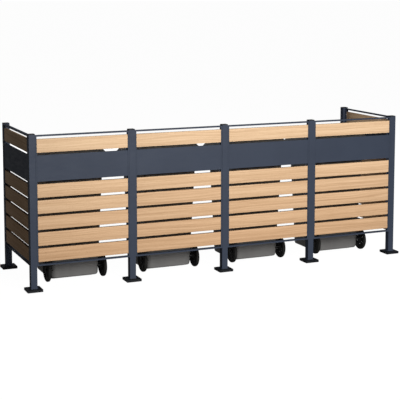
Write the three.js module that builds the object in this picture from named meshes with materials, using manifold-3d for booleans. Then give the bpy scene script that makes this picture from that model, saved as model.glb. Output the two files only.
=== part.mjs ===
// Recycling bin station: a slatted screen on seven posts, with four two-wheeled bins behind it.
// Millimetres, +Z up. The origin is on the ground at the middle of the station. The slatted front
// faces -Y, the two slatted ends face -X and +X, and the bins roll out of the open side towards +Y.
import * as THREE from 'three';
import { mergeVertices } from 'three/addons/utils/BufferGeometryUtils.js';
import Module from 'manifold-3d';

const wasm = await Module();
wasm.setup();

// Screen
const BAYS = 4;
const BAY_PITCH = 800; // post centre to post centre, along the front and along each end
const POST_SIZE = 50;
const POST_WALL = 2.5;
const POST_TOP = 1208;
const CAP_THICKNESS = 4;
const CAP_PLUG_DEPTH = 14;
const FOOT_SIZE = 120;
const FOOT_THICKNESS = 20;
const ANCHOR_SPACING = 84;
const ANCHOR_HOLE_RADIUS = 6;
const GAP = 0.3; // clearance between pieces that touch

// Panels, in a frame of rectangular bar that stands just behind the posts' outer faces
const PANEL_INSET = 1;
const PANEL_BOTTOM = 195;
const PANEL_TOP = 1202;
const RAIL_HEIGHT = 11;
const STILE_WIDTH = 11;
const FRAME_DEPTH = 28;
const SLAT_HEIGHT = 104;
const SLAT_GAP = 20;
const SLAT_THICKNESS = 22;
const SLAT_INSET = 0.5; // slat faces behind the frame's outer face
const LOWEST_SLAT = 226;
const LOWER_SLATS = 5;
const BAND_HEIGHT = 202;
const BAND_DEPTH = 18;
const BAND_SHEET = 2;
const CLEAT_WIDTH = 8; // upright strips behind the slats' ends, against the stiles
const CLEAT_THICKNESS = 5;

// Bins. In a bin's own frame the wheel axle lies along X at Y = 0 and the opening side is +Y.
const BIN_SPACING = 803.4;
const AXLE_FROM_FRONT = 254; // from the front posts' outer faces back to the wheel axle
const WHEEL_RADIUS = 93;
const WHEEL_WIDTH = 26;
const TYRE_INSIDE = 70;
const SHOULDER = 9; // how far in from its faces and its tread the tyre's edges are taken off
const WEB_HALF = 3; // half the thickness of the wheel's web
const WHEEL_TRACK = 458; // between the middles of the two tyres
const WHEEL_SIDES = 20;
const WEB_HOLES = 6;
const WEB_HOLE_RADIUS = 7;
const WEB_HOLE_CIRCLE = 46;
const AXLE_RADIUS = 10;
const AXLE_BORE = 10.4;
const BIN_WALL = 4;
const BIN_FOOT = { halfWidth: 195, rear: -13, front: 464, radius: 44 };
const BIN_MOUTH = { halfWidth: 232, rear: -71, front: 510, radius: 44 };
const RIM_SLOPE = 0.14; // the rim and the lid drop towards the front by this much of the distance
const RIM_TOP = 1022; // on the hinge line
const RIM_HEIGHT = 14;
const RIM_OUT = 15;
const FLOOR_LIFT = 21; // from the ground to the tub's floor, behind the foot
const FOOT_REAR = 60; // the foot under the floor, which the bin stands on, starts here
const FOOT_STEP = 0.5; // how far the foot's sides stand inside the tub's
const FILLET = [[10, 0], [3, 5], [0, 16]]; // bottom edges: how far in, at what height above the bottom
const HOUSING_TOP = 108; // the solid housing around the axle, inside the tub
const HOUSING_END = 15;
const HINGE_Y = -117;
const HINGE_Z = 1016;
const HINGE_ROD_RADIUS = 6;
const HINGE_BORE = 6.4;
const KNUCKLE_RADIUS = 13;
const LID = { halfWidth: 255, rear: -93, front: 596, radius: 44 };
const LID_BOTTOM = 1006;
const LID_WALL = 4;
const CORNER_STEPS = 4;

const FRONT_FACE = -(BAY_PITCH + POST_SIZE) / 2;

const steel = { color: 0x3c4552, roughness: 0.5, metalness: 0.25 };
const blackPlastic = { color: 0x141416, roughness: 0.6, metalness: 0 };
const oak = { color: 0xd9a872, roughness: 0.65, metalness: 0 };
const binPlastic = { color: 0x55565a, roughness: 0.55, metalness: 0 };
const lidPlastic = { color: 0x4c4d51, roughness: 0.5, metalness: 0 };
const rubber = { color: 0x101012, roughness: 0.85, metalness: 0 };
const zinc = { color: 0x9a9da1, roughness: 0.35, metalness: 0.9 };
const blackSteel = { color: 0x1b1b1d, roughness: 0.5, metalness: 0.3 };

// A closed three.js geometry as a solid that can be cut and joined
function solidOf(geometry) {
  const bare = geometry.clone();
  bare.deleteAttribute('normal');
  bare.deleteAttribute('uv');
  const merged = mergeVertices(bare, 1e-4);
  const mesh = new wasm.Mesh({
    numProp: 3,
    vertProperties: new Float32Array(merged.getAttribute('position').array),
    triVerts: new Uint32Array(merged.getIndex().array),
  });
  return new wasm.Manifold(mesh);
}

// A solid as a named mesh with its own material
function meshOf(name, solid, look) {
  const data = solid.getMesh();
  const geometry = new THREE.BufferGeometry();
  geometry.setAttribute('position', new THREE.BufferAttribute(data.vertProperties, 3));
  geometry.setIndex(new THREE.BufferAttribute(data.triVerts, 1));
  geometry.computeVertexNormals();
  const mesh = new THREE.Mesh(geometry, new THREE.MeshStandardMaterial(look));
  mesh.name = name;
  return mesh;
}

function box([x0, x1], [y0, y1], [z0, z1]) {
  const geometry = new THREE.BoxGeometry(x1 - x0, y1 - y0, z1 - z0);
  return solidOf(geometry.translate((x0 + x1) / 2, (y0 + y1) / 2, (z0 + z1) / 2));
}

function mirrored([x0, x1], side) {
  return side > 0 ? [x0, x1] : [-x1, -x0];
}

// A round bar along X, from x0 to x1, about the line through (y, z)
function barAlongX(radius, [x0, x1], y, z, sides = 12) {
  const geometry = new THREE.CylinderGeometry(radius, radius, x1 - x0, sides);
  return solidOf(geometry.rotateZ(Math.PI / 2).translate((x0 + x1) / 2, y, z));
}

// A round bar along Z
function barAlongZ(radius, x, y, [z0, z1], sides = 8) {
  const geometry = new THREE.CylinderGeometry(radius, radius, z1 - z0, sides);
  return solidOf(geometry.rotateX(Math.PI / 2).translate(x, y, (z0 + z1) / 2));
}

// An outline in Y and Z, drawn as a shape's X and Y, extruded along X
function plateAcrossX(shape, [x0, x1]) {
  const geometry = new THREE.ExtrudeGeometry(shape, { depth: x1 - x0, bevelEnabled: false, curveSegments: 6 });
  const axes = new THREE.Matrix4().makeBasis(
    new THREE.Vector3(0, 1, 0),
    new THREE.Vector3(0, 0, 1),
    new THREE.Vector3(1, 0, 0),
  );
  return solidOf(geometry.applyMatrix4(axes).translate(x0, 0, 0));
}

// The points of a rounded rectangle at height z, counterclockwise from above
function roundedRing({ halfWidth, rear, front, radius }, inset, z) {
  const r = Math.max(radius - inset, 6);
  const right = halfWidth - inset - r;
  const corners = [
    [right, front - inset - r],
    [-right, front - inset - r],
    [-right, rear + inset + r],
    [right, rear + inset + r],
  ];
  const ring = [];
  corners.forEach(([x, y], corner) => {
    for (let step = 0; step <= CORNER_STEPS; step += 1) {
      const angle = (Math.PI / 2) * (corner + step / CORNER_STEPS);
      ring.push(new THREE.Vector3(x + r * Math.cos(angle), y + r * Math.sin(angle), z));
    }
  });
  return ring;
}

// A closed solid through rings of equal length, from the lowest to the highest
function loft(rings) {
  const count = rings[0].length;
  const index = [];
  for (let level = 0; level < rings.length - 1; level += 1) {
    for (let i = 0; i < count; i += 1) {
      const a = level * count + i;
      const b = level * count + ((i + 1) % count);
      index.push(a, b, b + count, a, b + count, a + count);
    }
  }
  const top = (rings.length - 1) * count;
  for (let i = 1; i < count - 1; i += 1) {
    index.push(0, i + 1, i);
    index.push(top, top + i, top + i + 1);
  }
  const geometry = new THREE.BufferGeometry().setFromPoints(rings.flat());
  geometry.setIndex(index);
  return solidOf(geometry);
}

// A square tube welded to a square foot plate with four anchor holes, standing at the origin
function post(name) {
  const half = POST_SIZE / 2;
  const bore = half - POST_WALL;
  const foot = FOOT_SIZE / 2;
  let solid = box([-half, half], [-half, half], [FOOT_THICKNESS / 2, POST_TOP]);
  solid = solid.add(box([-foot, foot], [-foot, foot], [0, FOOT_THICKNESS]));
  solid = solid.subtract(box([-bore, bore], [-bore, bore], [FOOT_THICKNESS, POST_TOP + 1]));
  for (const x of [-ANCHOR_SPACING / 2, ANCHOR_SPACING / 2]) {
    for (const y of [-ANCHOR_SPACING / 2, ANCHOR_SPACING / 2]) {
      solid = solid.subtract(barAlongZ(ANCHOR_HOLE_RADIUS, x, y, [-1, FOOT_THICKNESS + 1]));
    }
  }
  return meshOf(name, solid, steel);
}

// A flat cap with a plug that fits inside the post's tube
function postCap(name) {
  const half = POST_SIZE / 2;
  const plug = half - POST_WALL - GAP;
  const underside = POST_TOP + GAP;
  let solid = box([-half, half], [-half, half], [underside, POST_TOP + CAP_THICKNESS]);
  solid = solid.add(box([-plug, plug], [-plug, plug], [POST_TOP - CAP_PLUG_DEPTH, underside + 1]));
  return meshOf(name, solid, blackPlastic);
}

// Each panel is drawn standing at the origin, outer face at Y = 0 looking towards -Y
const PANEL_HALF_WIDTH = (BAY_PITCH - POST_SIZE) / 2 - GAP;
const INFILL_HALF_WIDTH = PANEL_HALF_WIDTH - STILE_WIDTH - GAP;
const SLAT_PITCH = SLAT_HEIGHT + SLAT_GAP;
const BAND_BOTTOM = LOWEST_SLAT + LOWER_SLATS * SLAT_PITCH;
const TOP_SLAT = BAND_BOTTOM + BAND_HEIGHT + SLAT_GAP;

function panelFrame(name) {
  const outer = box([-PANEL_HALF_WIDTH, PANEL_HALF_WIDTH], [0, FRAME_DEPTH], [PANEL_BOTTOM, PANEL_TOP]);
  const openingHalf = PANEL_HALF_WIDTH - STILE_WIDTH;
  const opening = box(
    [-openingHalf, openingHalf],
    [-1, FRAME_DEPTH + 1],
    [PANEL_BOTTOM + RAIL_HEIGHT, PANEL_TOP - RAIL_HEIGHT],
  );
  return meshOf(name, outer.subtract(opening), steel);
}

// A folded sheet: a flat front with its top and bottom edges turned back
function panelBand(name) {
  const width = [-INFILL_HALF_WIDTH, INFILL_HALF_WIDTH];
  const tray = box(width, [SLAT_INSET, SLAT_INSET + BAND_DEPTH], [BAND_BOTTOM, BAND_BOTTOM + BAND_HEIGHT]);
  const hollow = box(
    [-INFILL_HALF_WIDTH - 1, INFILL_HALF_WIDTH + 1],
    [SLAT_INSET + BAND_SHEET, SLAT_INSET + BAND_DEPTH + 1],
    [BAND_BOTTOM + BAND_SHEET, BAND_BOTTOM + BAND_HEIGHT - BAND_SHEET],
  );
  return meshOf(name, tray.subtract(hollow), steel);
}

// Five lower slats and one top slat, joined by an upright cleat behind each end
function panelSlats(name) {
  const width = [-INFILL_HALF_WIDTH, INFILL_HALF_WIDTH];
  const back = SLAT_INSET + SLAT_THICKNESS;
  const cleat = [INFILL_HALF_WIDTH - CLEAT_WIDTH, INFILL_HALF_WIDTH];
  const cleatDepth = [back - 1, back + CLEAT_THICKNESS];
  const height = [LOWEST_SLAT, TOP_SLAT + SLAT_HEIGHT];
  let solid = box(cleat, cleatDepth, height).add(box(mirrored(cleat, -1), cleatDepth, height));
  const bottoms = [TOP_SLAT];
  for (let row = 0; row < LOWER_SLATS; row += 1) {
    bottoms.push(LOWEST_SLAT + row * SLAT_PITCH);
  }
  for (const bottom of bottoms) {
    solid = solid.add(box(width, [SLAT_INSET, back], [bottom, bottom + SLAT_HEIGHT]));
  }
  return meshOf(name, solid, oak);
}

function panel(suffix) {
  const group = new THREE.Group();
  group.add(panelFrame(`frame_${suffix}`), panelBand(`band_${suffix}`), panelSlats(`slats_${suffix}`));
  return group;
}

function screen() {
  const group = new THREE.Group();
  const places = [];
  for (let i = 0; i <= BAYS; i += 1) {
    places.push([`front_${i + 1}`, (i - BAYS / 2) * BAY_PITCH, -BAY_PITCH / 2]);
  }
  places.push(['rear_left', (-BAYS / 2) * BAY_PITCH, BAY_PITCH / 2]);
  places.push(['rear_right', (BAYS / 2) * BAY_PITCH, BAY_PITCH / 2]);
  for (const [suffix, x, y] of places) {
    const standing = new THREE.Group();
    standing.add(post(`post_${suffix}`), postCap(`cap_${suffix}`));
    standing.position.set(x, y, 0);
    group.add(standing);
  }
  for (let i = 0; i < BAYS; i += 1) {
    const front = panel(`front_${i + 1}`);
    front.position.set((i - (BAYS - 1) / 2) * BAY_PITCH, FRONT_FACE + PANEL_INSET, 0);
    group.add(front);
  }
  const endFace = (BAYS * BAY_PITCH + POST_SIZE) / 2 - PANEL_INSET;
  for (const [suffix, side] of [['left', -1], ['right', 1]]) {
    const end = panel(suffix);
    end.position.set(side * endFace, 0, 0);
    end.rotation.z = (side * Math.PI) / 2;
    group.add(end);
  }
  return group;
}

// The bin body's outline at height z, between its foot and its mouth
function bodyOutline(z) {
  const t = z / RIM_TOP;
  const mix = (key) => THREE.MathUtils.lerp(BIN_FOOT[key], BIN_MOUTH[key], t);
  return { halfWidth: mix('halfWidth'), rear: mix('rear'), front: mix('front'), radius: mix('radius') };
}

function bodyRing(z, inset) {
  return roundedRing(bodyOutline(z), inset, z);
}

function footRing(z, inset) {
  return roundedRing({ ...bodyOutline(z), rear: FOOT_REAR }, inset + FOOT_STEP, z);
}

// The lowest rings of a tub whose bottom is at height z, with its edges rounded
function filleted(ringAt, z, inset) {
  return FILLET.map(([inwards, up]) => ringAt(z + up, inset + inwards));
}

// A level ring tipped down towards the front, about the hinge line
function tipped(ring) {
  return ring.map((point) => new THREE.Vector3(point.x, point.y, point.z - RIM_SLOPE * (point.y - HINGE_Y)));
}

// Hinge ear behind the rim: a gusset that ends in a round eye on the hinge line
function earShape() {
  const shape = new THREE.Shape();
  shape.moveTo(-62, 905);
  shape.lineTo(-68, 1000);
  shape.lineTo(HINGE_Y + KNUCKLE_RADIUS, 1000);
  shape.lineTo(HINGE_Y + KNUCKLE_RADIUS, HINGE_Z);
  shape.absarc(HINGE_Y, HINGE_Z, KNUCKLE_RADIUS, 0, Math.PI, false);
  shape.lineTo(HINGE_Y - KNUCKLE_RADIUS, 988);
  shape.lineTo(-98, 945);
  return shape;
}

const INNER_EAR = [92, 106];
const OUTER_EAR = [196, 210];
const KNUCKLE = [50, 88];

// A tapered tub with a turned-out rim, two short handle bars, a foot in front and a housing for the axle
function binBody(name) {
  const everyX = [-300, 300];
  const shell = loft([
    ...filleted(bodyRing, FLOOR_LIFT, 0),
    tipped(bodyRing(RIM_TOP - RIM_HEIGHT - RIM_OUT / 2, 0)),
    tipped(bodyRing(RIM_TOP - RIM_HEIGHT, -RIM_OUT)),
    tipped(bodyRing(RIM_TOP, -RIM_OUT)),
  ]);
  const filletTop = FLOOR_LIFT + FILLET.at(-1)[1];
  const foot = loft([...filleted(footRing, 0, 0), footRing(filletTop, 0)]);
  const hollow = loft([
    ...filleted(bodyRing, FLOOR_LIFT + BIN_WALL, BIN_WALL),
    tipped(bodyRing(RIM_TOP + 1, BIN_WALL)),
  ]);
  const footHollow = loft([
    ...filleted(footRing, BIN_WALL, BIN_WALL),
    footRing(filletTop + BIN_WALL, BIN_WALL),
  ]);
  const housing = box(everyX, [-100, HOUSING_END], [-1, HOUSING_TOP]);
  const cavity = hollow.add(footHollow).subtract(housing);
  let solid = shell.add(foot).subtract(cavity);
  for (const side of [-1, 1]) {
    solid = solid.add(plateAcrossX(earShape(), mirrored(INNER_EAR, side)));
    solid = solid.add(plateAcrossX(earShape(), mirrored(OUTER_EAR, side)));
    const grip = mirrored([INNER_EAR[1] - 1, OUTER_EAR[0] + 1], side);
    solid = solid.add(barAlongX(KNUCKLE_RADIUS, grip, HINGE_Y, HINGE_Z));
  }
  const rodEnd = INNER_EAR[1] - 2;
  solid = solid.subtract(barAlongX(HINGE_BORE, [-rodEnd, rodEnd], HINGE_Y, HINGE_Z));
  solid = solid.subtract(barAlongX(AXLE_BORE, everyX, 0, WHEEL_RADIUS, WHEEL_SIDES));
  return meshOf(name, solid, binPlastic);
}

// A lid with bevelled sides, whose skirt drops over the rim: two hinge knuckles behind and a lip in front
function binLid(name) {
  const rimSeat = RIM_TOP + GAP + 0.2;
  const ring = (inset, z) => tipped(roundedRing(LID, inset, z));
  const outer = loft([
    ring(0, LID_BOTTOM),
    ring(1, RIM_TOP),
    ring(17, 1039),
    ring(28, 1050),
    ring(48, 1060),
    ring(88, 1068),
  ]);
  const hollow = loft([
    ring(LID_WALL, LID_BOTTOM - 1),
    ring(LID_WALL, rimSeat),
    ring(LID_WALL + 18, rimSeat + 0.1),
    ring(LID_WALL + 20, 1040),
    ring(LID_WALL + 34, 1050),
    ring(LID_WALL + 58, 1057),
    ring(LID_WALL + 92, 1063),
  ]);
  let solid = outer.subtract(hollow);
  const lipDrop = RIM_SLOPE * (LID.front - HINGE_Y);
  const lip = [LID_BOTTOM + 4 - lipDrop, LID_BOTTOM + 12 - lipDrop];
  solid = solid.add(box([-85, 85], [LID.front - 3, LID.front + 18], lip));
  for (const side of [-1, 1]) {
    const span = mirrored(KNUCKLE, side);
    solid = solid.add(box(span, [HINGE_Y, LID.rear + 2], [HINGE_Z - 2, HINGE_Z + KNUCKLE_RADIUS - 1]));
    solid = solid.add(barAlongX(KNUCKLE_RADIUS, span, HINGE_Y, HINGE_Z));
  }
  solid = solid.subtract(barAlongX(HINGE_BORE, [-100, 100], HINGE_Y, HINGE_Z));
  return meshOf(name, solid, lidPlastic);
}

// A wheel about the X axis at the origin: hub, pierced web and a tyre with round shoulders
function wheel(name) {
  const half = WHEEL_WIDTH / 2;
  const hub = 22;
  const profile = [
    [AXLE_BORE, -half],
    [hub, -half],
    [hub, -WEB_HALF],
    [TYRE_INSIDE, -WEB_HALF],
    [TYRE_INSIDE + 4, -half + 1],
    [WHEEL_RADIUS - SHOULDER, -half],
    [WHEEL_RADIUS - SHOULDER / 4, -half + SHOULDER / 2],
    [WHEEL_RADIUS, -half + SHOULDER],
  ];
  const outline = profile.map(([r, x]) => new THREE.Vector2(r, x));
  const otherSide = profile.map(([r, x]) => new THREE.Vector2(r, -x)).reverse();
  const closed = [...outline, ...otherSide, outline[0].clone()];
  const lathe = new THREE.LatheGeometry(closed, WHEEL_SIDES);
  let solid = solidOf(lathe.rotateZ(-Math.PI / 2));
  for (let i = 0; i < WEB_HOLES; i += 1) {
    const angle = (2 * Math.PI * (i + 0.5)) / WEB_HOLES;
    const y = WEB_HOLE_CIRCLE * Math.cos(angle);
    const z = WEB_HOLE_CIRCLE * Math.sin(angle);
    solid = solid.subtract(barAlongX(WEB_HOLE_RADIUS, [-half, half], y, z, 6));
  }
  return meshOf(name, solid, rubber);
}

function bin(number) {
  const group = new THREE.Group();
  const prefix = `bin_${number}`;
  const axleHalf = WHEEL_TRACK / 2 + WHEEL_WIDTH / 2 + 4;
  const axle = barAlongX(AXLE_RADIUS, [-axleHalf, axleHalf], 0, WHEEL_RADIUS, WHEEL_SIDES);
  const rodHalf = INNER_EAR[1] - 2 - GAP;
  const rod = barAlongX(HINGE_ROD_RADIUS, [-rodHalf, rodHalf], HINGE_Y, HINGE_Z);
  group.add(binBody(`${prefix}_body`), binLid(`${prefix}_lid`));
  group.add(meshOf(`${prefix}_axle`, axle, blackSteel), meshOf(`${prefix}_hinge_rod`, rod, zinc));
  for (const [side, sign] of [['left', -1], ['right', 1]]) {
    const mesh = wheel(`${prefix}_wheel_${side}`);
    mesh.position.set((sign * WHEEL_TRACK) / 2, 0, WHEEL_RADIUS);
    group.add(mesh);
  }
  return group;
}

const station = new THREE.Group();
station.add(screen());
for (let i = 0; i < BAYS; i += 1) {
  const standing = bin(i + 1);
  const firstBay = ((1 - BAYS) / 2) * BAY_PITCH;
  standing.position.set(firstBay + i * BIN_SPACING, FRONT_FACE + AXLE_FROM_FRONT, 0);
  station.add(standing);
}

export default station;
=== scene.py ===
"""Looks for the recycling bin station: fine meshes, materials, floor, lights and camera.

Metres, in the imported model's frame: +Z up, the slatted front faces -Y and the bins roll out
towards +Y. A bin's pieces are drawn in the bin's own frame, with the wheel axle above the origin.
"""
import math
import random

import bmesh
import bpy
from mathutils import Matrix, Vector


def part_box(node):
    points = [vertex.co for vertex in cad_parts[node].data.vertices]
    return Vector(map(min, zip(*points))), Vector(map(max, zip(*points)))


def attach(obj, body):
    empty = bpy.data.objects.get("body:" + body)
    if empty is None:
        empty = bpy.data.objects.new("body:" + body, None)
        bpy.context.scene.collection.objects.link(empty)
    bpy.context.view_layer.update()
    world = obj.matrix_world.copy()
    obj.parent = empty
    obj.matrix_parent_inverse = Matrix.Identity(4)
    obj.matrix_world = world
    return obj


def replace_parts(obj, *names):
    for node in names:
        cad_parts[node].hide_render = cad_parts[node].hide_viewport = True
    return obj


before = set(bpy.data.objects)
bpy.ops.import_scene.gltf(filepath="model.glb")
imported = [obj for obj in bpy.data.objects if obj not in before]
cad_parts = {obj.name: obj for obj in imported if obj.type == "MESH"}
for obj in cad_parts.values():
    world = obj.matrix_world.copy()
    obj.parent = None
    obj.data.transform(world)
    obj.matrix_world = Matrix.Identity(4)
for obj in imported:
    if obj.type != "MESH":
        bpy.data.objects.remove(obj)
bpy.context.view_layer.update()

BINS = (1, 2, 3, 4)
PANELS = ("front_1", "front_2", "front_3", "front_4", "left", "right")
POSTS = ("front_1", "front_2", "front_3", "front_4", "front_5", "rear_left", "rear_right")
FOOT_TOP = 0.020


# ------------------------------------------------------------------------------------------------
# Camera
# ------------------------------------------------------------------------------------------------

CAMERA_PLACE = (-3.7137, -8.509, 2.2516)
CAMERA_YAW, CAMERA_PITCH = math.radians(23.467), math.radians(6.437)
CAMERA_LENS = 99.64
CAMERA_SHIFT = (-0.0053, -0.2)


def make_camera():
    """Stands in front of the left end, above the screen's top, and looks to the right and a little down."""
    data = bpy.data.cameras.new("camera")
    data.lens = CAMERA_LENS
    data.shift_x, data.shift_y = CAMERA_SHIFT
    data.clip_end = 1000
    camera = bpy.data.objects.new("camera", data)
    bpy.context.scene.collection.objects.link(camera)
    camera.location = CAMERA_PLACE
    level = math.cos(CAMERA_PITCH)
    ahead = Vector((math.sin(CAMERA_YAW) * level, math.cos(CAMERA_YAW) * level, -math.sin(CAMERA_PITCH)))
    camera.rotation_mode = "QUATERNION"
    camera.rotation_quaternion = ahead.to_track_quat("-Z", "Y")
    bpy.context.scene.camera = camera


make_camera()


# ------------------------------------------------------------------------------------------------
# Materials
# ------------------------------------------------------------------------------------------------

class Look:
    """A material with one Principled shader, and short calls that add nodes to it."""

    def __init__(self, name, **settings):
        self.material = bpy.data.materials.new(name)
        self.material.use_nodes = True
        self.nodes = self.material.node_tree.nodes
        self.links = self.material.node_tree.links
        self.shader = next(n for n in self.nodes if n.type == "BSDF_PRINCIPLED")
        for socket, value in settings.items():
            self.shader.inputs[socket.replace("_", " ")].default_value = value

    def feed(self, socket, source):
        self.links.new(source, socket)

    def add(self, kind, values=None, feeds=None, **settings):
        node = self.nodes.new("ShaderNode" + kind)
        for key, value in settings.items():
            setattr(node, key, value)
        for socket, value in (values or {}).items():
            node.inputs[socket].default_value = value
        for socket, source in (feeds or {}).items():
            self.feed(node.inputs[socket], source)
        return node

    def place(self, scale=(1, 1, 1), attribute=None):
        """Object coordinates, or a named vector attribute, stretched by scale."""
        if attribute:
            source = self.add("Attribute", attribute_name=attribute).outputs["Vector"]
        else:
            source = self.add("TexCoord").outputs["Object"]
        return self.add("Mapping", {"Scale": scale}, {"Vector": source}).outputs["Vector"]

    def noise(self, vector, scale=1.0, detail=2.0, roughness=0.5):
        values = {"Scale": scale, "Detail": detail, "Roughness": roughness}
        return self.add("TexNoise", values, {"Vector": vector}).outputs["Fac"]

    def ramp(self, factor, *stops):
        """Each stop is (position, grey) or (position, (red, green, blue))."""
        node = self.add("ValToRGB", feeds={"Fac": factor})
        elements = node.color_ramp.elements
        while len(elements) < len(stops):
            elements.new(0.5)
        for element, (position, colour) in zip(elements, stops):
            element.position = position
            rgb = colour if isinstance(colour, tuple) else (colour, colour, colour)
            element.color = (*rgb, 1.0)
        return node.outputs["Color"]

    def spread(self, factor, low, high, source=(0.0, 1.0)):
        """Maps the source range of factor to low and high."""
        values = {"From Min": source[0], "From Max": source[1], "To Min": low, "To Max": high}
        return self.add("MapRange", values, {"Value": factor}).outputs["Result"]

    def maths(self, operation, first, second):
        node = self.add("Math", operation=operation)
        for socket, value in zip(node.inputs, (first, second)):
            if isinstance(value, (int, float)):
                socket.default_value = value
            else:
                self.feed(socket, value)
        return node.outputs["Value"]

    def blend(self, kind, factor, first, second):
        """Mixes two colours. Each input is a socket or a plain value."""
        node = self.add("Mix", data_type="RGBA", blend_type=kind)
        pairs = ((node.inputs[0], factor), (node.inputs[6], first), (node.inputs[7], second))
        for socket, value in pairs:
            if isinstance(value, (int, float)):
                socket.default_value = value
            elif isinstance(value, tuple):
                socket.default_value = (*value, 1.0)
            else:
                self.feed(socket, value)
        return node.outputs[2]

    def bump(self, height, distance, strength=1.0, under=None):
        feeds = {"Height": height}
        if under is not None:
            feeds["Normal"] = under
        values = {"Distance": distance, "Strength": strength}
        return self.add("Bump", values, feeds).outputs["Normal"]

    def colour(self, source):
        self.feed(self.shader.inputs["Base Color"], source)

    def roughness(self, source):
        self.feed(self.shader.inputs["Roughness"], source)

    def normal(self, source):
        self.feed(self.shader.inputs["Normal"], source)


WHITE = (1.0, 1.0, 1.0)


def powder_coat():
    """Anthracite powder coating: orange peel, faint cloudiness and duller rub marks.

    The foot plates, up to FOOT_TOP, are black.
    """
    look = Look("powder_coat", Specular_IOR_Level=0.2)
    here = look.place()
    cloud = look.noise(here, 2.6, 3.0)
    fleck = look.noise(here, 260.0, 2.0)
    tint = look.ramp(cloud, (0.3, (0.0275, 0.0363, 0.0582)), (0.7, (0.0318, 0.0418, 0.0660)))
    tint = look.blend("MULTIPLY", 0.35, tint, look.ramp(fleck, (0.35, 0.72), (0.65, 1.0)))
    height = look.add("SeparateXYZ", feeds={"Vector": here}).outputs["Z"]
    black_below = look.spread(height, 0.12, 1.0, (FOOT_TOP + 0.0005, FOOT_TOP + 0.0015))
    look.colour(look.blend("MULTIPLY", 1.0, tint, black_below))
    rub = look.noise(look.place((9.0, 9.0, 34.0)), 1.0, 5.0, 0.65)
    look.roughness(look.spread(rub, 0.46, 0.62, (0.35, 0.7)))
    look.normal(look.bump(look.noise(here, 520.0, 1.0), 0.00025, 0.35))
    return look.material


def black_plastic():
    """Moulded caps: fine spark-eroded grain."""
    look = Look("black_plastic", Specular_IOR_Level=0.35)
    here = look.place()
    grain = look.noise(here, 900.0, 2.0)
    cloud = look.noise(here, 14.0, 3.0)
    look.colour(look.ramp(cloud, (0.3, (0.0075, 0.0078, 0.0085)), (0.7, (0.0125, 0.0128, 0.0138))))
    look.roughness(look.spread(grain, 0.48, 0.62))
    look.normal(look.bump(grain, 0.0002, 0.5))
    return look.material


def oak():
    """Oiled oak. The grain attribute runs along, across and through each board.

    Tone differs at random by board, painted shade darkens the lower boards, and painted shade darkens the
    narrow faces in the gaps.
    """
    look = Look("oak", Specular_IOR_Level=0.15)
    slow = look.noise(look.place((1.1, 7.0, 7.0), "grain"), 1.0, 2.0)
    board = look.add("Attribute", attribute_name="grain").outputs["Vector"]
    parts = look.add("SeparateXYZ", feeds={"Vector": board})
    ring = look.maths("ADD", parts.outputs["Y"], look.maths("MULTIPLY", slow, 0.075))
    ring = look.maths("ADD", ring, look.maths("MULTIPLY", parts.outputs["Z"], 0.6))
    bent = look.add("CombineXYZ", feeds={"X": parts.outputs["X"], "Y": ring, "Z": parts.outputs["Z"]})
    stretched = look.add("Mapping", {"Scale": (0.35, 95.0, 30.0)}, {"Vector": bent.outputs["Vector"]})
    rings = look.noise(stretched.outputs["Vector"], 1.0, 3.0, 0.55)
    fibre = look.noise(look.place((7.0, 620.0, 620.0), "grain"), 1.0, 4.0, 0.6)
    pores = look.noise(look.place((38.0, 1500.0, 1500.0), "grain"), 1.0, 1.0)
    streak = look.noise(look.place((1.6, 120.0, 120.0), "grain"), 1.0, 3.0, 0.6)
    base = look.ramp(
        rings,
        (0.30, (0.520, 0.338, 0.204)),
        (0.48, (0.610, 0.412, 0.256)),
        (0.62, (0.660, 0.456, 0.292)),
        (0.75, (0.575, 0.382, 0.234)),
    )
    tone_and_shade = look.add("Attribute", attribute_name="tone_and_shade").outputs["Fac"]
    # Painted shade: this attribute marks the narrow faces inside the gaps between boards, which the oak
    # darkens as if shaded.
    gap_shade = look.add("Attribute", attribute_name="gap_shade").outputs["Fac"]
    for share, mask, first, last in (
        (0.75, fibre, (0.32, (0.80, 0.76, 0.71)), (0.60, WHITE)),
        (0.60, streak, (0.36, (0.82, 0.78, 0.72)), (0.56, WHITE)),
        (0.55, pores, (0.28, (0.55, 0.48, 0.40)), (0.38, WHITE)),
        # painted shade: lower boards darker and warmer, mixed with each board's random tone
        (1.00, tone_and_shade, (0.0, (0.875, 0.818, 0.762)), (1.0, (1.10, 1.17, 1.21))),
        # painted shade: the narrow faces in the gaps darkened as if in shadow
        (1.00, gap_shade, (0.0, WHITE), (1.0, (0.16, 0.13, 0.11))),
    ):
        base = look.blend("MULTIPLY", share, base, look.ramp(mask, first, last))
    look.colour(base)
    look.roughness(look.spread(fibre, 0.76, 0.62))
    raised = look.bump(fibre, 0.0005, 0.35)
    look.normal(look.bump(look.ramp(pores, (0.26, 0.0), (0.4, 1.0)), 0.0004, 0.3, raised))
    return look.material


def moulded(name, dark, light, grain_size, shine):
    """Injection-moulded polyethylene: leather grain, sun-faded patches, faint rain marks, pale scuffs."""
    look = Look(name, Specular_IOR_Level=shine)
    here = look.place()
    patches = look.noise(here, 3.1, 3.0, 0.6)
    runs = look.noise(look.place((16.0, 16.0, 1.7)), 1.0, 3.0, 0.6)
    scuffs = look.noise(look.place((60.0, 60.0, 420.0)), 1.0, 4.0, 0.72)
    base = look.ramp(patches, (0.3, dark), (0.7, light))
    base = look.blend("MULTIPLY", 0.25, base, look.ramp(runs, (0.35, 0.72), (0.6, 1.0)))
    worn = tuple(min(1.0, channel * 1.9) for channel in light)
    look.colour(look.blend("MIX", look.ramp(scuffs, (0.66, 0.0), (0.78, 0.55)), base, worn))
    cells = look.add("TexVoronoi", {"Scale": grain_size}, {"Vector": here}, feature="SMOOTH_F1")
    grain = cells.outputs["Distance"]
    look.roughness(look.spread(runs, 0.44, 0.62))
    look.normal(look.bump(grain, 0.0004, 0.3))
    return look.material


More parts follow.
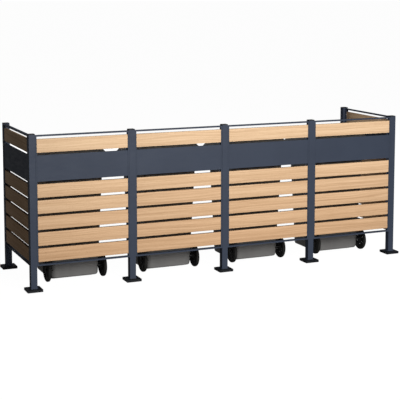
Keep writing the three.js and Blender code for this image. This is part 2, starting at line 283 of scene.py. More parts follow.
def rubber():
    """Black rubber with a dusty bloom in the hollows."""
    look = Look("rubber", Specular_IOR_Level=0.25)
    here = look.place()
    bloom = look.noise(here, 38.0, 4.0, 0.65)
    look.colour(look.ramp(bloom, (0.35, (0.0060, 0.0060, 0.0062)), (0.75, (0.0150, 0.0146, 0.0140))))
    look.roughness(look.spread(bloom, 0.7, 0.9))
    look.normal(look.bump(look.noise(here, 650.0, 2.0), 0.0003, 0.4))
    return look.material


def wheel_plastic():
    """The wheels' black centres: cloudy, with a moulded grain."""
    look = Look("wheel_plastic", Specular_IOR_Level=0.35)
    here = look.place()
    cloud = look.noise(here, 22.0, 3.0)
    look.colour(look.ramp(cloud, (0.3, (0.0080, 0.0080, 0.0086)), (0.7, (0.0145, 0.0145, 0.0152))))
    look.roughness(look.spread(look.noise(here, 160.0, 2.0), 0.42, 0.58))
    look.normal(look.bump(look.noise(here, 800.0, 1.0), 0.0002, 0.35))
    return look.material


def black_steel():
    """A black-coated bar: drawn lines and a little polish where it has turned."""
    look = Look("black_steel", Specular_IOR_Level=0.3)
    drawn = look.noise(look.place((40.0, 700.0, 700.0)), 1.0, 2.0)
    look.colour(look.ramp(drawn, (0.3, (0.0070, 0.0070, 0.0076)), (0.7, (0.0120, 0.0120, 0.0128))))
    look.roughness(look.spread(drawn, 0.45, 0.6))
    look.normal(look.bump(drawn, 0.0001, 0.3))
    return look.material


def zinc():
    """Bright zinc plating: pale spangle and fine drawn lines."""
    look = Look("zinc", Metallic=0.92)
    here = look.place()
    spangle = look.add("TexVoronoi", {"Scale": 190.0}, {"Vector": here}).outputs["Color"]
    drawn = look.noise(look.place((60.0, 900.0, 900.0)), 1.0, 2.0)
    shade = look.ramp(spangle, (0.1, (0.42, 0.43, 0.44)), (0.9, (0.58, 0.59, 0.60)))
    look.colour(look.blend("MULTIPLY", 0.5, shade, look.ramp(drawn, (0.3, 0.7), (0.7, 1.0))))
    look.roughness(look.spread(drawn, 0.26, 0.42))
    look.normal(look.bump(drawn, 0.0001, 0.3))
    return look.material


STEEL = powder_coat()
CAP = black_plastic()
OAK = oak()
BIN = moulded("bin_plastic", (0.130, 0.129, 0.128), (0.152, 0.151, 0.150), 620.0, 0.3)
LID = moulded("lid_plastic", (0.122, 0.121, 0.121), (0.143, 0.142, 0.142), 560.0, 0.3)
RUBBER = rubber()
HUB = wheel_plastic()
ZINC = zinc()
AXLE = black_steel()


# ------------------------------------------------------------------------------------------------
# Mesh building
# ------------------------------------------------------------------------------------------------

def make_object(name, mesh, material, smooth_below=35.0):
    """An object in the scene. Edges sharper than smooth_below degrees stay sharp."""
    mesh.materials.clear()
    mesh.materials.append(material)
    mesh.shade_smooth()
    mesh.set_sharp_from_angle(angle=math.radians(smooth_below))
    thing = bpy.data.objects.new(name, mesh)
    bpy.context.scene.collection.objects.link(thing)
    return thing


def mesh_from(bm, name="part"):
    bmesh.ops.recalc_face_normals(bm, faces=bm.faces)
    mesh = bpy.data.meshes.new(name)
    bm.to_mesh(mesh)
    bm.free()
    return mesh


def joined(meshes, name="part"):
    """One mesh that holds the given closed meshes side by side."""
    bm = bmesh.new()
    for mesh in meshes:
        bm.from_mesh(mesh)
        bpy.data.meshes.remove(mesh)
    mesh = bpy.data.meshes.new(name)
    bm.to_mesh(mesh)
    bm.free()
    return mesh


def moved(mesh, matrix):
    mesh.transform(matrix)
    if matrix.determinant() < 0:
        mesh.flip_normals()
    return mesh


def boolean(mesh, others, operation):
    """Joins others to mesh, or cuts them from it. All are closed, and others are used up."""
    scene = bpy.context.scene.collection
    thing = bpy.data.objects.new("work", mesh)
    scene.objects.link(thing)
    tools = []
    for other in others:
        tool = bpy.data.objects.new("tool", other)
        scene.objects.link(tool)
        tools.append(tool)
        modifier = thing.modifiers.new("cut", "BOOLEAN")
        modifier.operation = operation
        modifier.solver = "MANIFOLD"
        modifier.object = tool
    bpy.context.view_layer.update()
    made = bpy.data.meshes.new_from_object(thing.evaluated_get(bpy.context.evaluated_depsgraph_get()))
    for used in (thing, *tools):
        data = used.data
        bpy.data.objects.remove(used)
        bpy.data.meshes.remove(data)
    return made


def cut(mesh, *others):
    return boolean(mesh, others, "DIFFERENCE")


def weld(mesh, *others):
    return boolean(mesh, others, "UNION")


def block(low, high, radius=0.0, segments=2):
    """A box between two corners, with its edges rounded."""
    bm = bmesh.new()
    bmesh.ops.create_cube(bm, size=1.0)
    low, high = Vector(low), Vector(high)
    bm.transform(Matrix.Translation((low + high) / 2) @ Matrix.Diagonal((*(high - low), 1.0)))
    if radius:
        edges = bm.edges[:]
        bmesh.ops.bevel(bm, geom=edges, offset=radius, segments=segments, profile=0.5, affect="EDGES")
    return mesh_from(bm)


def skin(rings, closed=False):
    """A closed surface through rings of equal length.

    The first and last rings are filled, or joined to each other if closed is set.
    """
    bm = bmesh.new()
    rows = [[bm.verts.new(point) for point in ring] for ring in rings]
    count = len(rows[0])
    pairs = list(zip(rows, rows[1:]))
    if closed:
        pairs.append((rows[-1], rows[0]))
    for lower, upper in pairs:
        for i in range(count):
            j = (i + 1) % count
            bm.faces.new((lower[i], lower[j], upper[j], upper[i]))
    if not closed:
        bm.faces.new(reversed(rows[0]))
        bm.faces.new(rows[-1])
    return mesh_from(bm)


def turned(profile, steps, closed=True, centre=(0.0, 0.0, 0.0), wave=None):
    """Points (radius, x) turned about an axis along X. wave(radius, x, angle) is added to the radius.

    A closed profile makes a ring. The two ends of an open one are filled.
    """
    x0, y0, z0 = centre
    bm = bmesh.new()
    rows = []
    for step in range(steps):
        angle = 2 * math.pi * step / steps
        row = []
        for radius, x in profile:
            r = radius + (wave(radius, x, angle) if wave else 0.0)
            row.append(bm.verts.new((x0 + x, y0 + r * math.cos(angle), z0 + r * math.sin(angle))))
        rows.append(row)
    count = len(profile)
    last = count if closed else count - 1
    for i in range(steps):
        a, b = rows[i], rows[(i + 1) % steps]
        for k in range(last):
            n = (k + 1) % count
            bm.faces.new((a[k], a[n], b[n], b[k]))
    if not closed:
        bm.faces.new([row[0] for row in rows])
        bm.faces.new([row[-1] for row in rows])
    return mesh_from(bm)


def rod(radius, x0, x1, centre, steps, chamfer):
    """A round bar along X with chamfered ends."""
    inner = radius - chamfer
    profile = [(inner, x0), (radius, x0 + chamfer), (radius, x1 - chamfer), (inner, x1)]
    return turned(profile, steps, closed=False, centre=centre)


def plate(points, x0, x1, radius=0.0012):
    """An outline in Y and Z, given thickness along X, with rounded edges."""
    bm = bmesh.new()
    near = [bm.verts.new((x0, y, z)) for y, z in points]
    far = [bm.verts.new((x1, y, z)) for y, z in points]
    count = len(points)
    for i in range(count):
        j = (i + 1) % count
        bm.faces.new((near[i], near[j], far[j], far[i]))
    ends = [bm.faces.new(near), bm.faces.new(list(reversed(far)))]
    rims = {edge for face in ends for edge in face.edges}
    bmesh.ops.recalc_face_normals(bm, faces=bm.faces)
    bmesh.ops.bevel(bm, geom=list(rims), offset=radius, segments=2, profile=0.5, affect="EDGES")
    return mesh_from(bm)


def arc(centre, radius, start, end, steps):
    """Points on an arc, angles in degrees."""
    points = []
    for step in range(steps + 1):
        angle = math.radians(start + (end - start) * step / steps)
        points.append((centre[0] + radius * math.cos(angle), centre[1] + radius * math.sin(angle)))
    return points


# ------------------------------------------------------------------------------------------------
# Screen: steelwork kept from the CAD, with softened edges
# ------------------------------------------------------------------------------------------------

def soften(node, material, width):
    """A CAD node keeps its mesh, and gets a material and rounded edges."""
    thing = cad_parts[node]
    thing.material_slots[0].material = material
    merge = thing.modifiers.new("merge", "WELD")
    merge.merge_threshold = 1e-5
    flat = thing.modifiers.new("flat", "DECIMATE")
    flat.decimate_type = "DISSOLVE"
    flat.angle_limit = math.radians(1.0)
    bevel = thing.modifiers.new("edges", "BEVEL")
    bevel.width = width
    bevel.segments = 2
    bevel.limit_method = "ANGLE"
    bevel.angle_limit = math.radians(40)
    bevel.harden_normals = True
    bevel.use_clamp_overlap = True


for suffix in POSTS:
    soften(f"post_{suffix}", STEEL, 0.0016)
    soften(f"cap_{suffix}", CAP, 0.0012)
for suffix in PANELS:
    soften(f"frame_{suffix}", STEEL, 0.0009)
    soften(f"band_{suffix}", STEEL, 0.0007)


# ------------------------------------------------------------------------------------------------
# Panels: oak boards, the steel cleats behind their ends, and fixings
# ------------------------------------------------------------------------------------------------

LOWER_BOARDS = 5
BOARD_GAP = 0.020
BOARD_EDGE = 0.0022
BOARD_FACE = 0.0005
BOARD_THICKNESS = 0.022
BOARD_BACK = BOARD_FACE + BOARD_THICKNESS
CLEAT_WIDTH = 0.008
CLEAT_THICKNESS = 0.005
CLEAT_SHORT = 0.002
SCREW_SPACING = 0.056
SCREW_RADIUS, SCREW_HEAD = 0.0034, 0.0022


def panel_matrix(suffix):
    """From a panel's own frame, outer face at Y = 0 looking along -Y, to the model's."""
    low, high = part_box(f"frame_{suffix}")
    middle = (low + high) / 2
    if suffix == "left":
        return Matrix.Translation((low.x, middle.y, 0)) @ Matrix.Rotation(-math.pi / 2, 4, "Z")
    if suffix == "right":
        return Matrix.Translation((high.x, middle.y, 0)) @ Matrix.Rotation(math.pi / 2, 4, "Z")
    return Matrix.Translation((middle.x, low.y, 0))


def board_rows(suffix):
    """(bottom, top) of each board, from the lowest up. The band takes the place above the fifth."""
    low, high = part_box(f"slats_{suffix}")
    pitch = (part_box(f"band_{suffix}")[0].z - low.z) / LOWER_BOARDS
    height = pitch - BOARD_GAP
    bottoms = [*(low.z + i * pitch for i in range(LOWER_BOARDS)), high.z - height]
    return [(bottom, bottom + height) for bottom in bottoms]


def board_half_width(suffix):
    low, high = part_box(f"slats_{suffix}")
    return max(high.x - low.x, high.y - low.y) / 2


# A board's shade is its height share less TONE_DROP, give or take TONE_SPREAD at random: painted shade that
# darkens the lower boards, with a random tone for each board.
TONE_DROP, TONE_SPREAD = 0.10, 0.07


def add_grain(mesh, rows, rng):
    """Board coordinates for the oak: along, across and through, shifted for each board, and its tone.

    The lower boards are darker and warmer than the top one: painted shade, as if the light fell off
    downwards, with a random tone for each board on top. A third attribute is 1 on the narrow faces in the
    gaps, which the oak darkens as painted shade.
    """
    top = rows[-1][1]
    shifts = []
    for bottom, _ in rows:
        # The height share paints shade on the lower boards; the random part is the board's own tone.
        shade = min(1.0, max(0.0, bottom / top - TONE_DROP + rng.uniform(-TONE_SPREAD, TONE_SPREAD)))
        shifts.append((rng.uniform(0, 40), rng.uniform(0, 9), rng.uniform(0, 3), shade))
    grain, tone_and_shade, gap_shade = [], [], []
    for vertex in mesh.vertices:
        x, y, z = vertex.co
        row = min(range(len(rows)), key=lambda i: abs(z - sum(rows[i]) / 2))
        along, across, through, shade = shifts[row]
        grain.extend((x + along, z + across, y + through))
        tone_and_shade.append(shade)
        # Marks the faces in the gaps, which get painted shade.
        from_edge = min(abs(z - level) for level in rows[row])
        in_gap = from_edge < 1e-5 and abs(z - top) > 1e-5
        gap_shade.append(1.0 if in_gap else 0.0)
    mesh.attributes.new("grain", "FLOAT_VECTOR", "POINT").data.foreach_set("vector", grain)
    mesh.attributes.new("tone_and_shade", "FLOAT", "POINT").data.foreach_set("value", tone_and_shade)
    mesh.attributes.new("gap_shade", "FLOAT", "POINT").data.foreach_set("value", gap_shade)


def make_boards(suffix, seed):
    """The six boards of a panel as one piece."""
    half = board_half_width(suffix)
    rows = board_rows(suffix)
    boards = []
    for low, high in rows:
        boards.append(block((-half, BOARD_FACE, low), (half, BOARD_BACK, high), BOARD_EDGE, 3))
    mesh = joined(boards)
    add_grain(mesh, rows, random.Random(seed))
    moved(mesh, panel_matrix(suffix))
    thing = make_object(f"boards_{suffix}", mesh, OAK)
    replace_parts(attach(thing, "screen"), f"slats_{suffix}")


def make_cleats(suffix):
    """Two upright steel strips that hold the boards' ends."""
    half = board_half_width(suffix)
    rows = board_rows(suffix)
    strips = []
    for side in (-1, 1):
        near, far = sorted((side * (half - CLEAT_WIDTH), side * half))
        low = (near, BOARD_BACK, rows[0][0] + CLEAT_SHORT)
        high = (far, BOARD_BACK + CLEAT_THICKNESS, rows[-1][1] - CLEAT_SHORT)
        strips.append(block(low, high, 0.0008))
    mesh = moved(joined(strips), panel_matrix(suffix))
    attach(make_object(f"cleats_{suffix}", mesh, STEEL), "screen")


def socket_head(radius, height, steps=24):
    """A domed screw head on the plane X = 0, pointing along +X, with a hexagon socket."""
    hexagon = radius * 0.42

    def ring(r, x, six=False):
        points = []
        for step in range(steps):
            angle = 2 * math.pi * step / steps
            reach = r
            if six:
                reach = r / math.cos((angle + math.pi / 6) % (math.pi / 3) - math.pi / 6)
            points.append((x, reach * math.cos(angle), reach * math.sin(angle)))
        return points

    rings = [
        ring(radius * 0.96, 0.0),
        ring(radius, height * 0.12),
        ring(radius * 0.93, height * 0.5),
        ring(radius * 0.78, height * 0.85),
        ring(radius * 0.6, height),
        ring(hexagon * 1.08, height, True),
        ring(hexagon, height * 0.92, True),
        ring(hexagon, height * 0.35, True),
    ]
    return skin(rings)


def make_fixings(suffix):
    """Two screws through a cleat into each end of each board."""
    half = board_half_width(suffix)
    towards_back = Matrix.Rotation(math.pi / 2, 4, "Z")
    heads = []
    for bottom, top in board_rows(suffix):
        for side in (-1, 1):
            for up in (-1, 1):
                z = (bottom + top) / 2 + up * SCREW_SPACING / 2
                spot = Vector((side * (half - CLEAT_WIDTH / 2), BOARD_BACK + CLEAT_THICKNESS, z))
                head = socket_head(SCREW_RADIUS, SCREW_HEAD)
                heads.append(moved(head, Matrix.Translation(spot) @ towards_back))
    mesh = moved(joined(heads), panel_matrix(suffix))
    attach(make_object(f"fixings_{suffix}", mesh, ZINC), "screen")


for number, suffix in enumerate(PANELS):
    make_boards(suffix, 100 + number)
    make_cleats(suffix)
    make_fixings(suffix)


# ------------------------------------------------------------------------------------------------
# Post feet: the weld around each tube
# ------------------------------------------------------------------------------------------------

BEAD_LEG = 0.0050
BEAD_STEPS = 26


def weld_bead(place, half, rng):
    """A rounded bead around a square tube of half width half, with its middle at place on the plate's top."""
    rings = []
    for side in range(4):
        turn = Matrix.Rotation(side * math.pi / 2, 3, "Z")
        for step in range(BEAD_STEPS):
            along = -half + 2 * half * step / BEAD_STEPS
            reach = BEAD_LEG * (1 + 0.10 * math.sin(step * 2.4) + rng.uniform(-0.06, 0.06))
            section = [(0, -0.0005), (reach, -0.0005), (reach * 0.86, reach * 0.40),
                       (reach * 0.45, reach * 0.84), (0, reach), (-0.0008, reach * 0.5)]
            rings.append([turn @ Vector((half + out, along, up)) + place for out, up in section])
    return skin(rings, closed=True)


def make_welds():
    rng = random.Random(7)
    beads = []
    for suffix in POSTS:
        low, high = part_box(f"cap_{suffix}")
        place = Vector(((low.x + high.x) / 2, (low.y + high.y) / 2, FOOT_TOP))
        beads.append(weld_bead(place, (high.x - low.x) / 2, rng))
    mesh = joined(beads)
    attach(make_object("foot_welds", mesh, STEEL, 60), "screen")


make_welds()


# ------------------------------------------------------------------------------------------------
# Bins
# ------------------------------------------------------------------------------------------------

WALL = 0.004
RIM_TOP = 1.022
RIM_SLOPE = 0.14
# Rounded rectangles: half the width, the rear and front in Y, and the corners' radius
FOOT = {"half": 0.195, "rear": -0.013, "front": 0.464, "radius": 0.044}
MOUTH = {"half": 0.232, "rear": -0.071, "front": 0.510, "radius": 0.044}
LID_EDGE = {"half": 0.255, "rear": -0.093, "front": 0.596, "radius": 0.044}
FLOOR_LIFT = 0.021
FOOT_REAR, FOOT_STEP = 0.060, 0.0005
FILLET_IN, FILLET_UP = 0.010, 0.016
HOUSING_TOP, HOUSING_END = 0.108, 0.015
AXLE_RADIUS = 0.010
AXLE_BORE = 0.0104
WHEEL_RADIUS = 0.093
WHEEL_HALF = 0.013
WHEEL_TRACK = 0.458
TYRE_INSIDE = 0.070
HINGE = (-0.117, 1.016)
KNUCKLE = 0.013
HINGE_BORE = 0.0064
ROD_END = 0.1037
INNER_EAR, OUTER_EAR = (0.092, 0.106), (0.196, 0.210)
LID_KNUCKLE = (0.050, 0.088)
CORNER_STEPS = 8
LEAST_CORNER = 0.006
# Shares of a straight side that get a point, close together at the edges of the recessed fields
RUN_STOPS = (0.05, 0.09, 0.105, 0.12, 0.135, 0.15, 0.3, 0.5, 0.7, 0.85, 0.865, 0.88, 0.895, 0.91, 0.95)
# The lowest and highest point of each wall's recessed field
FIELDS = {"left": (0.17, 0.90), "right": (0.17, 0.90), "front": (0.16, 0.84), "rear": (0.30, 0.86)}
FIELD_DEPTH = 0.0035
TIP_START = 0.16
RIB_TOP, RIB_HALF, RIB_EDGE = 1.0085, 0.0018, 0.0006
# Half the length of a cutter that passes right through the tub
THROUGH = 0.30


def outline(z):
    """The bin body's rounded rectangle at height z."""
    share = z / RIM_TOP
    return {key: FOOT[key] + (MOUTH[key] - FOOT[key]) * share for key in FOOT}


def rounded_ring(shape, inset, z, relief=None):
    """Points around a rounded rectangle, counterclockwise from above.

    relief(side, share) is how far a point on a straight side is pushed in.
    """
    radius = max(shape["radius"] - inset, LEAST_CORNER)
    right = shape["half"] - inset - radius
    ahead = shape["front"] - inset - radius
    behind = shape["rear"] + inset + radius
    corners = ((right, ahead), (-right, ahead), (-right, behind), (right, behind))
    sides = ("front", "left", "rear", "right")
    points = []
    for number, (x, y) in enumerate(corners):
        for step in range(CORNER_STEPS + 1):
            angle = math.pi / 2 * (number + step / CORNER_STEPS)
            points.append(Vector((x + radius * math.cos(angle), y + radius * math.sin(angle), z)))
        start = points[-1]
        following = corners[(number + 1) % 4]
        turn = math.pi / 2 * (number + 1)
        outward = Vector((math.cos(turn), math.sin(turn), 0))
        end = Vector((following[0], following[1], z)) + outward * radius
        for share in RUN_STOPS:
            depth = relief(sides[number], share) if relief else 0.0
            points.append(start.lerp(end, share) - outward * depth)
    return points


def window(value, low, high, edge):
    """1 between low and high, 0 outside, with smooth edges."""
    def rise(t):
        t = min(1.0, max(0.0, t))
        return t * t * (3 - 2 * t)
    return rise((value - low) / edge) * rise((high - value) / edge)


def wall_relief(z):
    """Shallow recessed fields in the two sides, the front and the back of a bin."""
    def relief(side, share):
        low, high = FIELDS[side]
        return FIELD_DEPTH * window(share, 0.09, 0.91, 0.06) * window(z, low, high, 0.03)
    return relief


def tipped(ring, share=1.0):
    """A level ring tipped down towards the front, about the hinge line, by a share of the rim's slope."""
    return [Vector((p.x, p.y, p.z - share * RIM_SLOPE * (p.y - HINGE[0]))) for p in ring]


def wall_tip(z):
    """The walls' rings tip gradually: level at the foot, parallel to the rim at the top."""
    return max(0.0, (z - TIP_START) / (RIM_TOP - TIP_START))


def outer_levels():
    """Heights that follow the recessed fields' edges closely."""
    levels = [0.07, 0.10, 0.14]
    for start in (0.16, 0.30, 0.81, 0.87):
        levels.extend(start + 0.0075 * i for i in range(7))
    levels.extend((0.24, 0.40, 0.50, 0.60, 0.70, 0.77, 0.93, 0.96, 0.985))
    return sorted(levels)


def filleted(z, inset, rear=None):
    """The lowest rings of a tub whose bottom is at height z, with its edges rounded.

    rear takes the place of the outline's own rear.
    """
    rings = []
    for step in range(6):
        angle = math.pi / 2 * step / 5
        height = z + FILLET_UP * (1 - math.cos(angle))
        shape = outline(height)
        if rear is not None:
            shape["rear"] = rear
        rings.append(rounded_ring(shape, inset + FILLET_IN * (1 - math.sin(angle)), height))
    return rings


def foot(z, inset):
    """The foot under the tub's floor, which the bin stands on. With an inset, the hollow in it."""
    inset += FOOT_STEP
    rings = filleted(z, inset, FOOT_REAR)
    top = z + FLOOR_LIFT + FILLET_UP
    return skin([*rings, rounded_ring({**outline(top), "rear": FOOT_REAR}, inset, top)])


def tub_outside():
    """The tub's outer surface, up to and around its turned-out rim."""
    rings = filleted(FLOOR_LIFT, 0.0)
    for z in outer_levels():
        rings.append(tipped(rounded_ring(outline(z), 0.0, z, wall_relief(z)), wall_tip(z)))
    rim = (
        (0.9985, 0.0), (1.0030, 0.0025), (1.0058, 0.0075), (1.0070, 0.0115), (1.0080, 0.0140),
        (1.0095, 0.0150), (1.0175, 0.0150), (1.0203, 0.0142), (1.0220, 0.0118),
    )
    for z, out in rim:
        rings.append(tipped(rounded_ring(outline(z), -out, z)))
    return skin(rings)


def tub_inside():
    """The hollow in the tub, open past the rim."""
    rings = filleted(FLOOR_LIFT + WALL, WALL)
    for z in outer_levels():
        rings.append(tipped(rounded_ring(outline(z), WALL, z, wall_relief(z)), wall_tip(z)))
    lip = ((1.014, WALL), (1.0195, WALL - 0.0006), (1.0222, WALL - 0.0030), (1.03, WALL - 0.0030))
    for z, inset in lip:
        rings.append(tipped(rounded_ring(outline(z), inset, z)))
    return skin(rings)


def ear_points():
    """A gusset behind the rim that ends in a round eye on the hinge line."""
    y, z = HINGE
    return [(-0.062, 0.905), (-0.068, 1.0), (y + KNUCKLE, 1.0), *arc((y, z), KNUCKLE, 0, 180, 12),
            (y - KNUCKLE, 0.988), (-0.124, 0.968), (-0.098, 0.945)]


def grip_bar(x0, x1):
    """The hand grip between two ears, with finger grooves around it."""
    profile = [(KNUCKLE - 0.0005, x0)]
    ridges = 9
    for i in range(ridges):
        for share, drop in ((0.0, 0.0), (0.55, 0.0), (0.65, 0.0009), (0.9, 0.0009)):
            profile.append((KNUCKLE - 0.0004 - drop, x0 + (x1 - x0) * (0.08 + 0.84 * (i + share) / ridges)))
    profile.append((KNUCKLE - 0.0005, x1))
    return turned(profile, 28, closed=False, centre=(0, *HINGE))


def rim_ribs():
    """Small gussets under the rim: a comb across the front, and a row along each side."""
    ribs = []
    drop = RIM_SLOPE * (MOUTH["front"] - HINGE[0])
    front = outline(0.97)["front"]
    for i in range(13):
        x = (i - 6) * 0.030
        shape = [(front - 0.003, 0.940 - drop), (front + 0.004, 0.942 - drop), (front + 0.0125, 0.956 - drop),
                 (front + 0.0135, RIB_TOP - drop), (front - 0.003, RIB_TOP - drop)]
        ribs.append(plate(shape, x - RIB_HALF, x + RIB_HALF, RIB_EDGE))
    half = outline(0.985)["half"]
    for side in (-1, 1):
        for i in range(9):
            y = 0.03 + i * 0.05
            top = RIB_TOP - RIM_SLOPE * (y - HINGE[0])
            low, high = sorted((side * (half - 0.002), side * (half + 0.0125)))
            ribs.append(block((low, y - 0.0016, top - 0.024), (high, y + 0.0016, top), RIB_EDGE, 1))
    return ribs


def make_body_mesh():
    """The tub with its foot, ribs, ears and grips, bored for the hinge rod and the axle."""
    tub = weld(tub_outside(), foot(0.0, 0.0))
    hollow = weld(tub_inside(), foot(WALL, WALL))
    housing = block((-THROUGH, -0.1, -0.05), (THROUGH, HOUSING_END, HOUSING_TOP), 0.004)
    hollow = cut(hollow, housing)
    solid = cut(tub, hollow)
    extras = rim_ribs()
    for side in (-1, 1):
        for near, far in (INNER_EAR, OUTER_EAR):
            extras.append(plate(ear_points(), *sorted((side * near, side * far))))
        ends = (side * (INNER_EAR[1] - 0.001), side * (OUTER_EAR[0] + 0.001))
        extras.append(grip_bar(*sorted(ends)))
    solid = weld(solid, *extras)
    rod_end = INNER_EAR[1] - 0.002
    return cut(
        solid,
        rod(HINGE_BORE, -rod_end, rod_end, (0, *HINGE), 24, 0.0002),
        rod(AXLE_BORE, -THROUGH, THROUGH, (0, 0, WHEEL_RADIUS), 32, 0.0002),
    )


def make_lid_mesh():
    """The lid: skirt, bevelled crown with a raised bead around it, front lip and hinge knuckles."""
    edge = LID_EDGE
    crown = (
        (0.0016, 1.0060), (0.0004, 1.0066), (0.0, 1.0080), (0.0003, 1.0180), (0.0016, 1.0222),
        (0.0045, 1.0260), (0.0140, 1.0360), (0.0190, 1.0412), (0.0270, 1.0482), (0.0360, 1.0532),
        (0.0480, 1.0575), (0.0600, 1.0596), (0.0660, 1.0612), (0.0700, 1.0644), (0.0730, 1.0666),
        (0.0780, 1.0676), (0.0900, 1.0676), (0.0945, 1.0668), (0.0975, 1.0646), (0.1000, 1.0632),
        (0.1060, 1.0626),
    )
    outside = skin([tipped(rounded_ring(edge, inset, z)) for inset, z in crown])
    seat = RIM_TOP + 0.0005
    under = (
        (WALL, 1.0), (WALL, seat), (WALL + 0.018, seat + 0.0002), (WALL + 0.020, 1.038),
        (WALL + 0.032, 1.0475), (WALL + 0.048, 1.0530), (WALL + 0.070, 1.0565), (WALL + 0.100, 1.0580),
    )
    inside = skin([tipped(rounded_ring(edge, inset, z)) for inset, z in under])
    solid = cut(outside, inside)
    front = edge["front"]
    drop = RIM_SLOPE * (front - HINGE[0])
    extras = [block((-0.085, front - 0.003, 1.010 - drop), (0.085, front + 0.018, 1.018 - drop), 0.0028, 3)]
    for i in range(5):
        x = (i - 2) * 0.034
        low = (x - 0.0018, front - 0.001, 1.0165 - drop)
        extras.append(block(low, (x + 0.0018, front + 0.010, 1.0215 - drop), 0.0008))
    y, z = HINGE
    for side in (-1, 1):
        low, high = sorted((side * LID_KNUCKLE[0], side * LID_KNUCKLE[1]))
        extras.append(rod(KNUCKLE, low, high, (0, y, z), 32, 0.0012))
        extras.append(block((low, y, z - 0.002), (high, edge["rear"] + 0.002, z + KNUCKLE - 0.001), 0.0012))
    solid = weld(solid, *extras)
    return cut(solid, rod(HINGE_BORE, -0.1, 0.1, (0, y, z), 24, 0.0002))


TREAD_BLOCKS = 36
WEB_HALF = 0.0026
WEB_HOLES = 6
WEB_HOLE_CIRCLE = 0.046
WEB_HOLE_RADIUS = 0.0056
TREAD_DEPTH = 0.0014


def tyre_mesh():
    """A solid tyre with round shoulders, a groove around it and notched edges."""
    half = WHEEL_HALF - 0.0005
    round_off = 0.009
    side = [(TYRE_INSIDE, half - 0.004), (TYRE_INSIDE + 0.0015, half - 0.0022),
            (TYRE_INSIDE + 0.004, half - 0.0012), (0.0780, half - 0.0002), (0.0815, half)]
    shoulder = arc((half - round_off, WHEEL_RADIUS - round_off), round_off, 5, 80, 7)
    side.extend((r, x) for x, r in shoulder)
    crown = [(WHEEL_RADIUS - 0.0002, 0.0026), (WHEEL_RADIUS - 0.0016, 0.0020), (WHEEL_RADIUS - 0.0016, 0.0)]
    right = [*side, *crown]
    left = [(r, -x) for r, x in reversed(right[:-1])]

    def tread(radius, x, angle):
        if abs(x) < 0.0040 or radius < WHEEL_RADIUS - 0.006:
            return 0.0
        share = (angle * TREAD_BLOCKS / (2 * math.pi)) % 1.0
        return -TREAD_DEPTH if share > 0.7 else 0.0

    return turned([*right, *left], TREAD_BLOCKS * 5, wave=tread)


def wheel_centre_mesh():
    """Hub, thin pierced web with ribs, and the rim that carries the tyre."""
    half = WHEEL_HALF
    right = [(AXLE_BORE, half - 0.001), (AXLE_BORE + 0.001, half), (0.0205, half), (0.0220, half - 0.0015),
             (0.0226, WEB_HALF + 0.0013), (0.0240, WEB_HALF), (0.0635, WEB_HALF), (0.0650, WEB_HALF + 0.0013),
             (0.0660, half - 0.0035), (0.0668, half - 0.0025), (0.0695, half - 0.0025),
             (TYRE_INSIDE + 0.0002, half - 0.0035)]
    profile = [*right, *[(r, -x) for r, x in reversed(right)]]
    disc = turned(profile, 72)
    holes, ribs = [], []
    for i in range(WEB_HOLES):
        angle = 2 * math.pi * (i + 0.5) / WEB_HOLES
        spot = (0, WEB_HOLE_CIRCLE * math.cos(angle), WEB_HOLE_CIRCLE * math.sin(angle))
        holes.append(rod(WEB_HOLE_RADIUS, -0.02, 0.02, spot, 24, 0.0002))
        rib = block((-0.0070, 0.021, -0.0014), (0.0070, 0.0665, 0.0014), 0.0005, 1)
        ribs.append(moved(rib, Matrix.Rotation(2 * math.pi * i / WEB_HOLES, 4, "X")))
    return weld(cut(disc, *holes), *ribs)


def axle_cap_mesh():
    """A domed push-on cap for the axle's end, on the plane X = 0."""
    profile = [(0.0130, 0.0), (0.0138, 0.0006), (0.0138, 0.0016), (0.0118, 0.0028), (0.0108, 0.0040),
               (0.0085, 0.0052), (0.0045, 0.0060), (0.0005, 0.0062)]
    return turned(profile, 36, closed=False)


def placed(name, mesh, material, place, body, slot, *nodes, smooth_below=35.0):
    """A copy of mesh at place, riding on body and replacing the named nodes, if any."""
    thing = make_object(name, mesh.copy(), material, smooth_below)
    thing.location = place
    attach(thing, body)
    if nodes:
        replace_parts(thing, *nodes)
    return thing


BODY_MESH = make_body_mesh()
LID_MESH = make_lid_mesh()
TYRE_MESH = tyre_mesh()
CENTRE_MESH = wheel_centre_mesh()
AXLE_CAP_MESH = axle_cap_mesh()


AXLE_CAP_DEPTH = 0.0038


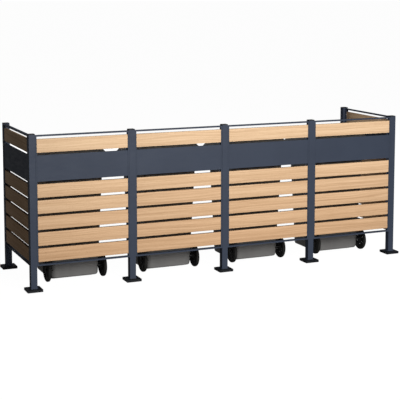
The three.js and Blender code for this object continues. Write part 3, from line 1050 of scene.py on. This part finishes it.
def make_bin(number):
    """One bin, placed by its axle in the CAD."""
    name = f"bin_{number}"
    low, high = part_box(f"{name}_axle")
    place = Vector(((low.x + high.x) / 2, (low.y + high.y) / 2, 0))
    reach = (high.x - low.x) / 2
    placed(f"{name}_tub", BODY_MESH, BIN, place, name, "bin_body", f"{name}_body")
    placed(f"{name}_cover", LID_MESH, LID, place, f"{name}_lid", "bin_lid", f"{name}_lid")
    axle = rod(AXLE_RADIUS, -reach, reach, (0, 0, WHEEL_RADIUS), 40, 0.0012)
    placed(f"{name}_axle_bar", axle, AXLE, place, name, "axle", f"{name}_axle")
    hinge = rod(0.006, -ROD_END, ROD_END, (0, *HINGE), 28, 0.0008)
    placed(f"{name}_hinge_pin", hinge, ZINC, place, name, "zinc", f"{name}_hinge_rod")
    for side, sign in (("left", -1), ("right", 1)):
        hub = place + Vector((sign * WHEEL_TRACK / 2, 0, WHEEL_RADIUS))
        body = f"{name}_wheel_{side}"
        placed(f"{body}_tyre", TYRE_MESH, RUBBER, hub, body, "wheel", body, smooth_below=50.0)
        placed(f"{body}_centre", CENTRE_MESH, HUB, hub, body, "wheel")
        cap = placed(f"{name}_axle_cap_{side}", AXLE_CAP_MESH, CAP, (0, 0, 0), name, "cap")
        flip = Matrix.Identity(4) if sign > 0 else Matrix.Rotation(math.pi, 4, "Z")
        end = place + Vector((sign * (reach - AXLE_CAP_DEPTH), 0, WHEEL_RADIUS))
        cap.matrix_world = Matrix.Translation(end) @ flip


for number in BINS:
    make_bin(number)
for spare in (BODY_MESH, LID_MESH, TYRE_MESH, CENTRE_MESH, AXLE_CAP_MESH):
    bpy.data.meshes.remove(spare)


# ------------------------------------------------------------------------------------------------
# Floor, world and lights
# ------------------------------------------------------------------------------------------------

FILL_LEVEL, REFLECTED_LEVEL, SEEN_LEVEL = 0.075, 0.16, 1.0


def make_floor():
    """A wide floor that glows just below white, so that only soft shadows show on it."""
    mesh = block((-400, -400, -0.5), (400, 400, -0.0002))
    look = Look("floor", Roughness=0.9, Specular_IOR_Level=0.0, Emission_Strength=0.975)
    look.shader.inputs["Base Color"].default_value = (0.05, 0.05, 0.05, 1)
    look.shader.inputs["Emission Color"].default_value = (1, 1, 1, 1)
    floor = make_object("floor", mesh, look.material)
    floor.visible_diffuse = False
    floor.visible_glossy = False


def make_world():
    """White for the camera, grey in reflections, and a weak even fill for everything else."""
    world = bpy.data.worlds.new("studio")
    world.use_nodes = True
    tree = world.node_tree
    background = next(n for n in tree.nodes if n.type == "BACKGROUND")
    path = tree.nodes.new("ShaderNodeLightPath")
    level = FILL_LEVEL
    for ray, strength in (("Is Glossy Ray", REFLECTED_LEVEL), ("Is Camera Ray", SEEN_LEVEL)):
        pick = tree.nodes.new("ShaderNodeMapRange")
        tree.links.new(path.outputs[ray], pick.inputs["Value"])
        if isinstance(level, float):
            pick.inputs["To Min"].default_value = level
        else:
            tree.links.new(level, pick.inputs["To Min"])
        pick.inputs["To Max"].default_value = strength
        level = pick.outputs["Result"]
    tree.links.new(level, background.inputs["Strength"])
    background.inputs["Color"].default_value = (1, 1, 1, 1)
    bpy.context.scene.world = world


def area_light(name, place, target, width, height, watts, colour=(1, 1, 1), glossy=True):
    """A rectangular light at place, facing target. Reflections show it if glossy is set."""
    data = bpy.data.lights.new(name, "AREA")
    data.shape = "RECTANGLE"
    data.size = width
    data.size_y = height
    data.energy = watts
    data.color = colour
    light = bpy.data.objects.new(name, data)
    bpy.context.scene.collection.objects.link(light)
    light.location = place
    light.rotation_mode = "QUATERNION"
    light.rotation_quaternion = (Vector(target) - Vector(place)).to_track_quat("-Z", "Y")
    light.visible_camera = False
    light.visible_glossy = glossy


make_floor()
make_world()
area_light("front", (0.45, -6.6, 3.2), (0.3, 0, 0.8), 4.1, 2.2, 582, (1.0, 0.985, 0.96))
area_light("low", (0.5, -5.6, 0.42), (0.3, 0, 0.1), 4.0, 0.5, 54, (1.0, 0.985, 0.97))
area_light("right", (8.5, 0.5, 1.8), (0, 0, 0.7), 3.0, 2.4, 420, glossy=False)
area_light("back", (1.0, 8.0, 1.6), (0, 0, 0.8), 6.0, 2.0, 620, glossy=False)
bpy.context.scene.view_settings.view_transform = "Standard"
